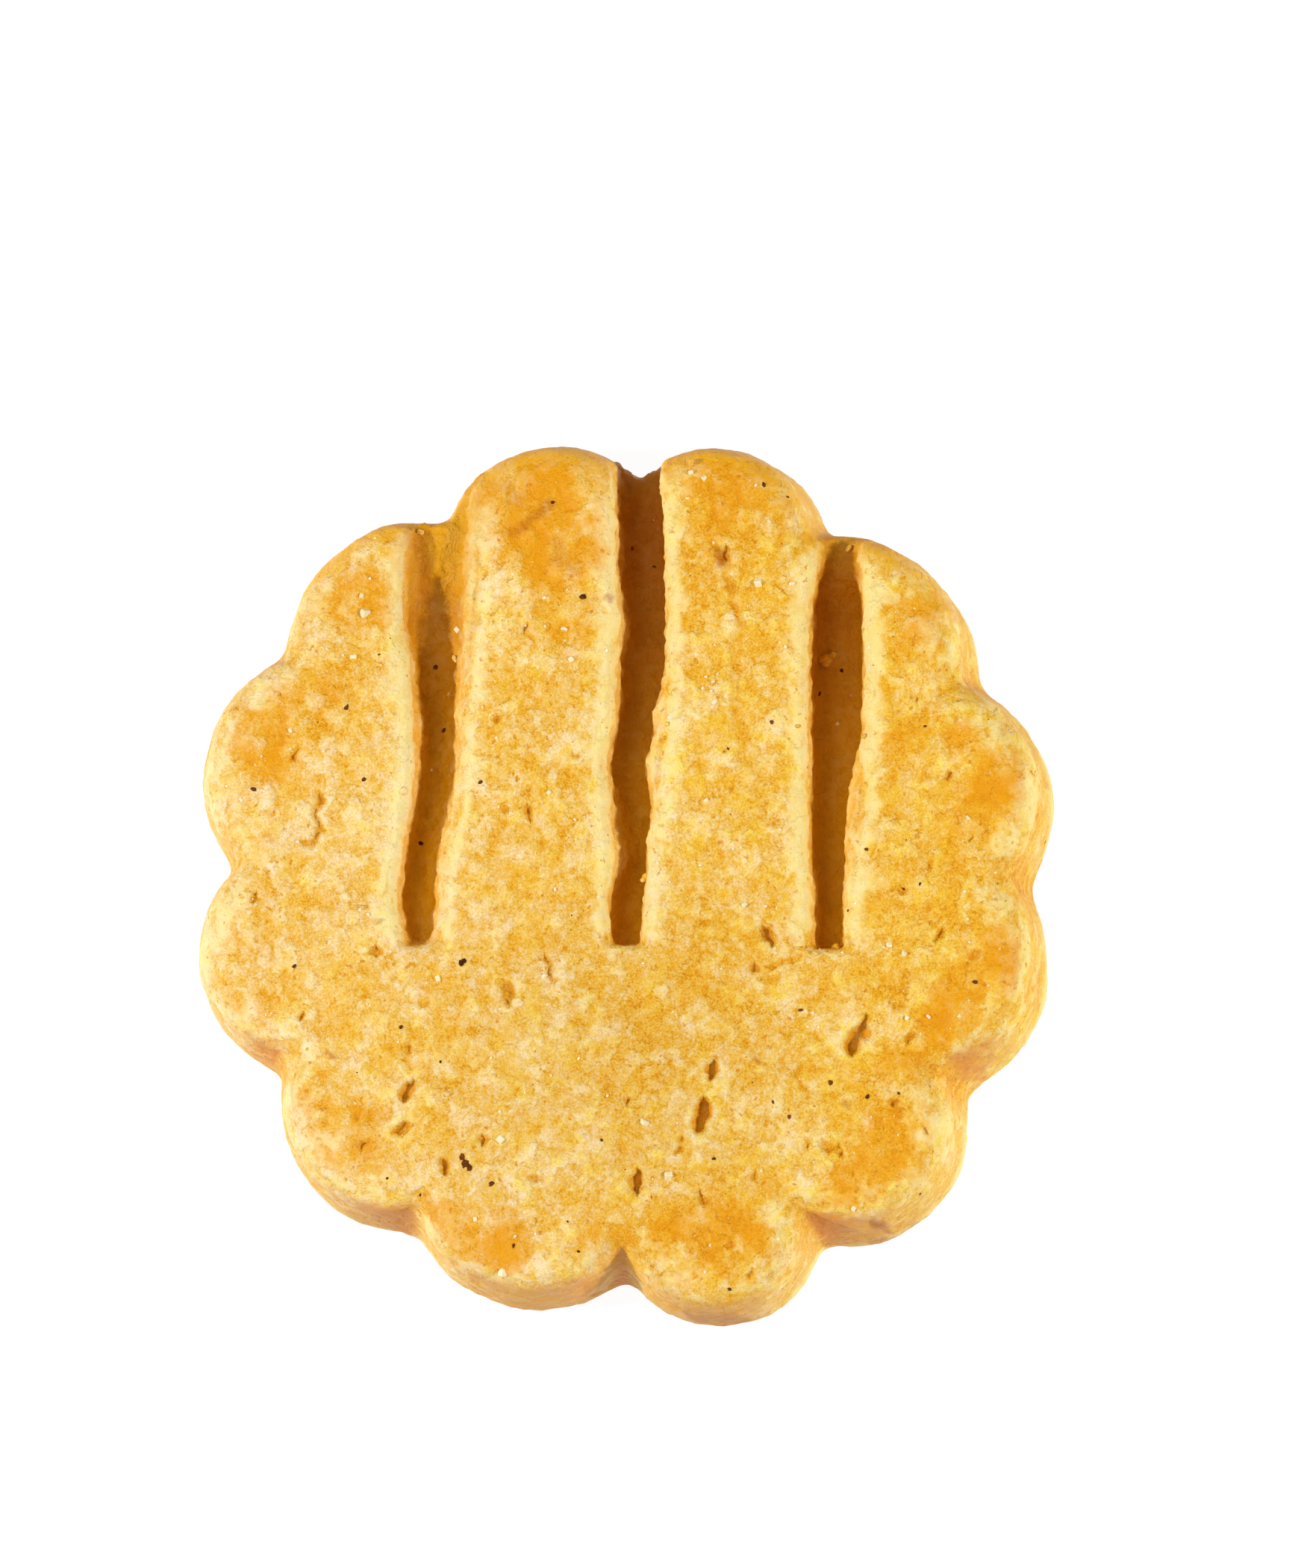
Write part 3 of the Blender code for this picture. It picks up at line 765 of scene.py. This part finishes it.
def measure_form(mesh, points, normals):
    """How hollow, bulging and sharp each point is, from how far it stands out of the evened surface."""
    edges = mesh_edges(mesh)
    near = smoothed(points, edges, NEAR_TIMES)
    middling = smoothed(near, edges, MIDDLING_TIMES)
    wide = smoothed(middling, edges, WIDE_TIMES)
    hollow = np.einsum("ij,ij->i", near - points, normals) / FULL_HOLLOW
    top = ease(normals[:, 2], 0.2, 0.7)
    set_measure(mesh, "hollow", np.clip(hollow, -MOST_COUNTED, MOST_COUNTED) * (0.3 + 0.7 * top))
    bulge = np.einsum("ij,ij->i", near - middling, normals) / FULL_BULGE
    set_measure(mesh, "bulge", np.clip(bulge, -MOST_COUNTED, MOST_COUNTED))
    outward = points - wide
    edge = np.einsum("ij,ij->i", outward, normals) / FULL_EDGE
    # Edges facing ±X, towards the lamps, count fully and those facing ±Y count against: the finish paints
    # the first paler, partly as unbrowned dough and partly as painted highlight, and the others darker as
    # painted shade
    sideways = outward[:, 0] ** 2 / (outward[:, 0] ** 2 + outward[:, 1] ** 2 + LEVEL_ENOUGH**2)
    set_measure(mesh, "edge", np.clip(edge, -1.0, 1.0) * (sideways * 1.3 - 0.3))


def measure_top(mesh, points, normals):
    """The top's clods, browned patches, pits and burnt sugar, and its darker middle."""
    x, y, z = points.T
    set_measure(mesh, "clod", ease(clod_field(x, y, z), -0.25, 0.3))
    browned = np.zeros_like(x)
    for px, py, radius, strength in BROWNED:
        far = np.hypot(x - px * MM, y - py * MM) / (radius * MM)
        browned = 1 - (1 - browned) * (1 - strength * np.exp(-far**2))
    north = ease(normals[:, 1], 0.1, 0.5)
    rim = ease(normals[:, 2], 0.9, 0.55) * (1 - north)
    shoulder = ease(normals[:, 2], 0.98, 0.8) * ease(normals[:, 2], 0.0, 0.4)
    # The shoulder facing the open ends, which the lamps light least, is marked for amber: partly browning,
    # partly painted shade
    set_measure(mesh, "back", north * shoulder * ease(y, BACK_FROM, BACK_FULL))
    set_measure(mesh, "browned", browned * (1 - 0.75 * rim))
    pit = np.clip(pit_depths(x, y) / FULL_PIT, 0.0, 1.0)
    set_measure(mesh, "pit", pit * (z > THICKNESS - PITS_COLOURED))
    ragged_x, ragged_y = ragged(x, y)
    stain = np.zeros_like(x)
    for way, width, strength in STAINS:
        near_way = ease(way_distance(way, ragged_x, ragged_y), width * MM, width * MM * 0.1)
        stain = np.maximum(stain, strength * near_way)
    set_measure(mesh, "stain", stain)
    middle_x, middle_y = DARKER_MIDDLE
    from_middle = np.hypot(x - middle_x * MM, y - middle_y * MM) / DARKER_MIDDLE_REACH
    set_measure(mesh, "middle", np.exp(-from_middle**2) * ease(normals[:, 2], 0.3, 0.8))


def measure_depths(mesh, points, normals):
    """Where the grooves' walls and floors, the outer wall and the underside are."""
    x, y, z = points.T
    inside = groove_nearness(x, y, GROOVE_LIP_REACH)
    depth = groove_depth(x, y)
    down = (THICKNESS - z) / depth
    # The grooves' floors, where their painted shade goes
    set_measure(mesh, "groove_floor_shade", inside * ease(down, 0.5, 0.85) * ease(down, *BELOW_FLOOR))
    # The grooves' walls below the lips are marked for a darker tan: painted shade
    set_measure(mesh, "wall", inside * ease(down, 0.05, 0.4) * ease(down, 0.9, 0.55))
    shallow = SHALLOW_MOST * ease(depth, SHALLOW_NONE, SHALLOW_FULL)
    set_measure(mesh, "inward", np.maximum(ease(y, INWARD_NONE, INWARD_FULL), shallow))
    reach = np.hypot(x, y)
    outer = ease(reach, CORE - WALL_BAND, CORE)
    # The outer wall, where it turns away from the lamps and most in the notches, is marked for a darker tan:
    # the wall's own tan with painted shade
    turned_from_lamps = ease(np.abs(normals[:, 0]), 0.75, 0.25)
    in_notch = ease(reach, CORE + NOTCH_NONE, CORE + NOTCH_FULL)
    side = outer * turned_from_lamps * ease(normals[:, 2], 0.8, 0.2) * (0.5 + 0.5 * in_notch)
    set_measure(mesh, "side", side)
    set_measure(mesh, "under", ease(normals[:, 2], -0.3, -0.9))


def measure_baking(biscuit):
    """Keeps at every point what the finish reads."""
    mesh = biscuit.data
    points = point_array(mesh)
    normals = point_array(mesh, "normal")
    measure_form(mesh, points, normals)
    measure_top(mesh, points, normals)
    measure_depths(mesh, points, normals)


def make_biscuit():
    biscuit = make_blank("biscuit_crumb")
    centre(biscuit)
    cutters = [make_cutter(f"groove_{i}", groove, i) for i, groove in enumerate(GROOVES)]
    press_grooves(biscuit, cutters)
    soften(biscuit)
    even_wall(biscuit)
    add_relief(biscuit)
    thin_out(biscuit)
    centre(biscuit)
    biscuit.data.shade_smooth()
    measure_baking(biscuit)
    biscuit.data.materials.clear()
    biscuit.data.materials.append(shortbread_finish())
    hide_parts("biscuit")
    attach(biscuit, "root")
    return biscuit


class Value:
    """A socket of a finish that Python's operators reckon with."""

    def __init__(self, finish, socket):
        self.finish = finish
        self.socket = socket

    def reckon(self, operation, first, second):
        return self.finish.add("ShaderNodeMath", {"operation": operation}, {0: first, 1: second})

    def __add__(self, other):
        return self.reckon("ADD", self, other)

    def __radd__(self, other):
        return self.reckon("ADD", other, self)

    def __sub__(self, other):
        return self.reckon("SUBTRACT", self, other)

    def __rsub__(self, other):
        return self.reckon("SUBTRACT", other, self)

    def __mul__(self, other):
        return self.reckon("MULTIPLY", self, other)

    def __rmul__(self, other):
        return self.reckon("MULTIPLY", other, self)


class Finish:
    """A Principled material and the nodes that feed it."""

    def __init__(self, name):
        self.material = bpy.data.materials.new(name)
        self.material.use_nodes = True
        self.tree = self.material.node_tree
        self.shader = self.tree.nodes["Principled BSDF"]

    def add(self, kind, settings=None, inputs=None, output=0):
        """A node of the given kind: its settings are made first, then its sockets get values or links."""
        node = self.tree.nodes.new(kind)
        for name, setting in (settings or {}).items():
            if name == "stops":
                set_stops(node.color_ramp, setting)
            else:
                setattr(node, name, setting)
        for name, value in (inputs or {}).items():
            self.feed(node.inputs[name], value)
        return Value(self, node.outputs[output])

    def feed(self, socket, value):
        if isinstance(value, Value):
            self.tree.links.new(value.socket, socket)
        else:
            socket.default_value = value

    def set(self, **inputs):
        """Values or links for the shader's own sockets, named with underscores for spaces."""
        for name, value in inputs.items():
            self.feed(self.shader.inputs[name.replace("_", " ")], value)

    def measure(self, name):
        return self.add("ShaderNodeAttribute", {"attribute_name": name}, output="Fac")

    def cloud(self, across, seed, detail=2.0, roughness=0.5):
        """Noise from 0 to 1 about a middle of 0.5, with spots of the given width."""
        place = self.add("ShaderNodeTexCoord", output="Object")
        inputs = {"Vector": place, "W": seed, "Scale": 1 / across, "Detail": detail, "Roughness": roughness}
        return self.add("ShaderNodeTexNoise", {"noise_dimensions": "4D"}, inputs)

    def eased(self, value, low, high):
        settings = {"interpolation_type": "SMOOTHSTEP"}
        return self.add("ShaderNodeMapRange", settings, {"Value": value, "From Min": low, "From Max": high})

    def mixed(self, share, first, second, blend="MIX"):
        settings = {"data_type": "RGBA", "blend_type": blend}
        return self.add("ShaderNodeMix", settings, {0: share, 6: first, 7: second}, output=2)


def set_stops(ramp, stops):
    while len(ramp.elements) > 1:
        ramp.elements.remove(ramp.elements[-1])
    for number, (place, colour) in enumerate(stops):
        element = ramp.elements[0] if number == 0 else ramp.elements.new(place)
        element.position = place
        element.color = colour


def tone(red, green, blue):
    """A colour as the screen shows it, 0 to 255, in the linear values that shaders take."""
    shares = [value / 255 for value in (red, green, blue)]
    linear = [s / 12.92 if s <= 0.04045 else ((s + 0.055) / 1.055) ** 2.4 for s in shares]
    return (*linear, 1.0)


def shortbread_finish():
    """Crumb from cream to amber: painted light where it stands out and painted shade in hollows, and darker
    in pits and browned patches.
    """
    finish = Finish("shortbread_crumb")
    broad = finish.cloud(7.0 * MM, 3.0, 1.0)
    patches = finish.cloud(2.4 * MM, 2.0, 4.0, 0.7)
    clouds = finish.cloud(2.6 * MM, 1.0, 4.0, 0.9)
    golden = finish.eased(finish.cloud(1.4 * MM, 9.0, 5.0, 0.85), 0.34, 0.66)
    clots = finish.cloud(1.5 * MM, 10.0, 3.0, 0.6)
    clot = finish.eased(clots, 0.5, 0.6)
    seam = finish.eased(clots, 0.44, 0.49) - finish.eased(clots, 0.49, 0.52)
    furrow = seam * finish.eased(clouds, 0.46, 0.52)
    mottle = finish.cloud(0.6 * MM, 4.0, 2.0)
    pore = finish.eased(finish.cloud(0.42 * MM, 8.0, 2.0), 0.62, 0.7) * finish.eased(mottle, 0.36, 0.6)
    grain = finish.cloud(0.12 * MM, 7.0, 1.0)
    sparkle = finish.eased(finish.cloud(0.2 * MM, 6.0, 1.0), 0.68, 0.74)
    place = finish.add("ShaderNodeTexCoord", output="Object")
    across = finish.add("ShaderNodeSeparateXYZ", {}, {"Vector": place})

    hollow = finish.measure("hollow")
    bulge = finish.measure("bulge")
    edge = finish.measure("edge")
    clod = finish.measure("clod")
    inward = finish.measure("inward")
    heat = finish.measure("browned") + (patches - 0.5) * 1.7 + (mottle - 0.5) * 0.7 - (clod - 0.5) * 0.2
    baked = finish.eased(heat, 0.25, 1.2)

    calm = 1 - finish.eased(edge, 0.2, 0.9) * 0.5
    uneven = (clouds - 0.5) * 0.7 + (mottle - 0.5) * 0.55 + (grain - 0.5) * 1.1
    uneven = uneven + clot * 0.2 - furrow * 0.14 - pore * 0.2
    pale = 0.5 + uneven * calm + (broad - 0.5) * 0.6 - across * (DARKER_TO_RIGHT / CORE)
    # Hollows are darkened as painted shade and bulges paled as painted light; edges facing the lamps are
    # paled as partly unbrowned dough, partly painted highlight
    pale = pale - hollow * 0.13 + bulge * 0.05 + edge * 0.16 - baked * 0.3
    stops = [(share, tone(*colour)) for share, colour in CRUMB_TONES]
    colour = finish.add("ShaderNodeValToRGB", {"stops": stops}, {"Fac": pale})
    tint = finish.mixed(golden + across * (GOLDEN_TO_RIGHT / CORE), PALE_TINT, GOLDEN_TINT)
    colour = finish.mixed(1.0, colour, tint, "MULTIPLY")
    colour = finish.mixed(finish.measure("middle"), colour, DARKER_TINT, "MULTIPLY")

    # What is laid over the crumb's colour, from the first to the last: real tones, painted highlight on lips
    # and rims, and painted shade on the back shoulder, the outer wall and the grooves
    # The grooves' floors are painted with shade, darkest towards the open ends
    floor = finish.mixed(inward, tone(*GROOVE_FLOOR_DEEP_SHADE), tone(*GROOVE_FLOOR_LIGHT_SHADE))
    layers = (
        # Lips and rims facing the lamps: partly unbrowned cream, partly painted highlight
        (finish.eased(edge, 0.15, 0.9) * (patches * 1.3 - 0.1), tone(*CREAM_LIP_AND_HIGHLIGHT)),
        (baked * 0.8, tone(*BROWNED_TOP)),
        (finish.measure("back") * (0.4 + patches * 0.5), tone(*BROWNED_AND_SHADED_BACK)),
        (pore * 0.7, tone(*OPEN_PORE)),
        (finish.measure("pit") * 0.5, tone(*PIT_FLOOR)),
        (finish.measure("side") * (0.5 + patches * 0.7), tone(*WALL_TAN_AND_SHADE)),
        (finish.measure("wall") * (0.3 + patches * 0.5), tone(*GROOVE_WALL_SHADE)),
        (finish.measure("groove_floor_shade") * 0.85, floor),
        (finish.measure("under") * 0.7, tone(*UNDERSIDE)),
        (finish.measure("stain"), tone(*BURNT_SUGAR)),
    )
    for share, layer in layers:
        colour = finish.mixed(share, colour, layer)

    gloss = 0.56 - baked * 0.12 + (grain - 0.5) * 0.7
    height = (grain - 0.5) * 0.4 + (mottle - 0.5) * 0.5 + clot * 0.35
    height = height - furrow * 0.2 - pore * 0.12 + sparkle * 0.15
    bump = finish.add("ShaderNodeBump", {}, {"Height": height, "Strength": 1.0, "Distance": BUMP_DEPTH})
    finish.set(Base_Color=colour, Roughness=gloss, Normal=bump, Coat_Weight=sparkle)
    finish.set(Specular_IOR_Level=0.2, Coat_Roughness=0.15)
    finish.set(Subsurface_Weight=0.12, Subsurface_Radius=(1.0, 0.5, 0.15), Subsurface_Scale=1.0 * MM)
    return finish.material


def sugar_finish():
    finish = Finish("sugar")
    milky = finish.cloud(0.5 * MM, 3.0, 2.0)
    cloudy, clear = SUGAR_TONES
    colour = finish.mixed(milky, tone(*cloudy), tone(*clear))
    finish.set(Base_Color=colour, Roughness=0.12 + milky * 0.15, IOR=1.55)
    return finish.material


def spice_finish():
    finish = Finish("spice")
    husk = finish.cloud(0.3 * MM, 5.0, 2.0)
    dark, light = SPICE_TONES
    colour = finish.mixed(finish.eased(husk, 0.35, 0.75), tone(*dark), tone(*light))
    finish.set(Base_Color=colour, Roughness=0.7 + husk * 0.2, Specular_IOR_Level=0.1)
    return finish.material


def sugar_shape():
    """A crystal one across: a box with its edges cut."""
    bm = bmesh.new()
    bmesh.ops.create_cube(bm, size=0.8)
    edges = list(bm.edges)
    bmesh.ops.bevel(
        bm, geom=edges, offset=0.1, segments=1, profile=0.5, affect="EDGES", material=-1, clamp_overlap=True
    )
    return mesh_from(bm, "shape")


def flake_shape():
    """A flake of spice one across: a flattened, many-cornered lump."""
    bm = bmesh.new()
    bmesh.ops.create_icosphere(bm, subdivisions=1, radius=0.5)
    for vert in bm.verts:
        vert.co *= 1 + 1.1 * noise.noise(vert.co * 4.0)
        vert.co.z *= 0.45
    return mesh_from(bm, "shape")


def crumb_shape():
    """A loose crumb one across."""
    bm = bmesh.new()
    bmesh.ops.create_icosphere(bm, subdivisions=2, radius=0.5)
    for vert in bm.verts:
        vert.co *= 1 + 0.55 * noise.noise(vert.co * 3.5 + Vector((4.0, 1.0, 2.0)))
    return mesh_from(bm, "shape")


def surface_at(surface, x, y):
    """The place and direction of the top under (x, y), in metres."""
    place, normal, _, _ = surface.ray_cast(Vector((x, y, THICKNESS * 2)), Vector((0.0, 0.0, -1.0)))
    return place, normal


def strewn(name, shape, finish, spots, surface, rng, lying=False):
    """One piece of many small shapes, lying flat or turned by chance.

    Each spot is X, Y and size in metres, and how far it is sunk, 0 to 1.
    """
    bm = bmesh.new()
    for x, y, size, sunk in spots:
        place, normal = surface_at(surface, x, y)
        if place is None or (size < SMALL and place.z < THICKNESS - SMALL_DEEPEST):
            continue
        known = len(bm.verts)
        bm.from_mesh(shape)
        bm.verts.ensure_lookup_table()
        turn = Euler([rng.uniform(0, math.tau) for _ in range(3)]).to_matrix()
        if lying:
            spin = Euler((0, 0, rng.uniform(0, math.tau))).to_matrix()
            turn = normal.to_track_quat("Z", "Y").to_matrix() @ spin
        stretch = Matrix.Diagonal([size * rng.uniform(*STRETCH) for _ in range(3)])
        middle = place + normal * size * (0.35 - 0.6 * sunk)
        middle.z = min(middle.z, CEILING - size * HALF_REACH)
        for vert in bm.verts[known:]:
            vert.co = middle + turn @ stretch @ vert.co
    bpy.data.meshes.remove(shape)
    obj = object_from(bm, name)
    obj.data.materials.append(finish)
    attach(obj, "root")


def chance_spots(rng, count, small, large, sunk_least, sunk_most):
    """Places all over the top, with more small sizes than large ones."""
    spots = []
    while len(spots) < count:
        x, y = rng.uniform(-1, 1) * CORE * 1.1, rng.uniform(-1, 1) * CORE * 1.1
        if math.hypot(x, y) < rim_radius(math.atan2(y, x), RIM_CLEAR, NOTCH_SOFTNESS_TOP):
            size = small + (large - small) * rng.random() ** 2
            spots.append((x, y, size * MM, rng.uniform(sunk_least, sunk_most)))
    return spots


def given_spots(spots, sunk):
    return [(x * MM, y * MM, size * MM, sunk) for x, y, size in spots]


def make_toppings(biscuit):
    graph = bpy.context.evaluated_depsgraph_get()
    surface = BVHTree.FromObject(biscuit, graph)
    rng = random.Random(CHANCE_SEED)
    sugar = given_spots(SUGAR, SUGAR_SUNK) + chance_spots(rng, *CHANCE_SUGAR)
    strewn("sugar_grains", sugar_shape(), sugar_finish(), sugar, surface, rng)
    specks = given_spots(SPECKS, SPECKS_SUNK) + chance_spots(rng, *CHANCE_SPECKS)
    strewn("spice_specks", flake_shape(), spice_finish(), specks, surface, rng, lying=True)
    crumbs = given_spots(LOOSE_CRUMBS, CRUMBS_SUNK)
    strewn("loose_crumbs", crumb_shape(), biscuit.data.materials[0], crumbs, surface, rng)


def make_camera():
    camera = bpy.data.cameras.new("camera")
    camera.sensor_width = SENSOR
    camera.lens = SENSOR * CAMERA_DISTANCE / (PICTURE_HIGH / PIXELS_PER_MM * MM)
    camera.shift_x = (PICTURE_WIDE / 2 - TOP_MIDDLE_PIXEL[0]) / PICTURE_HIGH
    camera.shift_y = (TOP_MIDDLE_PIXEL[1] - PICTURE_HIGH / 2) / PICTURE_HIGH
    camera.clip_start = NEAREST_SEEN
    slant = Vector((math.tan(math.radians(LEAN_RIGHT)), -math.tan(math.radians(LEAN_FRONT)), 1.0))
    away = slant.normalized()
    right = Vector((0.0, 1.0, 0.0)).cross(away).normalized()
    up = away.cross(right)
    turn = Matrix((right, up, away)).transposed().to_4x4()
    obj = bpy.data.objects.new("camera", camera)
    bpy.context.scene.collection.objects.link(obj)
    obj.matrix_world = Matrix.Translation(Vector((0.0, 0.0, THICKNESS)) + away * CAMERA_DISTANCE) @ turn
    bpy.context.scene.camera = obj


def softbox(name, azimuth, elevation, distance, size, power):
    """A round lamp that faces the biscuit."""
    light = bpy.data.lights.new(name, "AREA")
    light.shape = "DISK"
    light.size = size
    light.energy = power
    light.color = LAMP_COLOUR
    across, rise = math.radians(azimuth), math.radians(elevation)
    place = Vector((math.cos(across) * math.cos(rise), math.sin(across) * math.cos(rise), math.sin(rise)))
    obj = bpy.data.objects.new(name, light)
    bpy.context.scene.collection.objects.link(obj)
    obj.location = place * distance
    obj.rotation_euler = place.to_track_quat("Z", "Y").to_euler()


def make_sky():
    world = bpy.data.worlds.new("world")
    world.use_nodes = True
    background = world.node_tree.nodes["Background"]
    background.inputs["Color"].default_value = WHITE
    background.inputs["Strength"].default_value = SKY_STRENGTH
    bpy.context.scene.world = world
    bpy.context.scene.view_settings.view_transform = "Standard"


def make_floor():
    """The plain white floor. It glows, so that the biscuit's shadow on it stays faint."""
    bm = bmesh.new()
    bmesh.ops.create_grid(bm, x_segments=1, y_segments=1, size=FLOOR_HALF_WIDTH)
    floor = object_from(bm, "floor")
    material = bpy.data.materials.new("white_sweep")
    material.use_nodes = True
    shader = material.node_tree.nodes["Principled BSDF"]
    shader.inputs["Base Color"].default_value = FLOOR_COLOUR
    shader.inputs["Roughness"].default_value = 0.8
    shader.inputs["Emission Color"].default_value = WHITE
    shader.inputs["Emission Strength"].default_value = FLOOR_GLOW
    floor.data.materials.append(material)


make_camera()
for lamp in LAMPS:
    softbox(*lamp)
make_sky()
make_floor()
make_toppings(make_biscuit())
